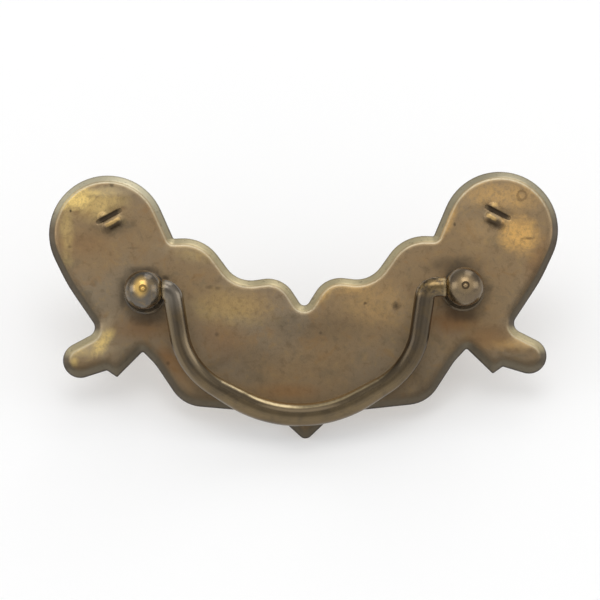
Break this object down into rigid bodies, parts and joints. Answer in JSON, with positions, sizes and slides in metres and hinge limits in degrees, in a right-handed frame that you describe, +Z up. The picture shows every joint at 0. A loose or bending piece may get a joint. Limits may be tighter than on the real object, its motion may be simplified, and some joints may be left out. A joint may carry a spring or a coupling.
{
  "type": "bail pull",
  "caption": "Antique-style brass drawer pull: a pressed batwing backplate with a bevelled rim, turned ball-headed posts and a hinged bail handle that swings in them.",
  "frame": {"origin": "midway between the two post axes, on the plane of the backplate's back rim", "axes": "+X to the right along the line of the posts, +Y out of the back into the drawer front, +Z up"},
  "size_m": [0.1226, 0.0434, 0.0638],
  "materials": {
    "pressed_brass": "aged brown-olive brass sheet with golden worn patches and a darker rim",
    "turned_brass": "grey-brown tarnished turned brass, worn bright at the tip",
    "bail_brass": "dark brown tarnished brass rod, polished along the grip",
    "fixing_brass": "plain dull brass"
  },
  "bodies": {
    "plate_set": {"backplate": "pressed_brass", "left_post": "turned_brass", "right_post": "turned_brass", "left_washer": "fixing_brass", "right_washer": "fixing_brass", "left_nut": "fixing_brass", "right_nut": "fixing_brass"},
    "bail": {"bail": "bail_brass"}
  },
  "joints": [
    {"name": "bail_swing", "type": "hinge", "parent": "plate_set", "child": "bail", "pos_m": [0, -0.0135, 0], "axis": [-1, 0, 0], "range_deg": [0, 213]}
  ]
}
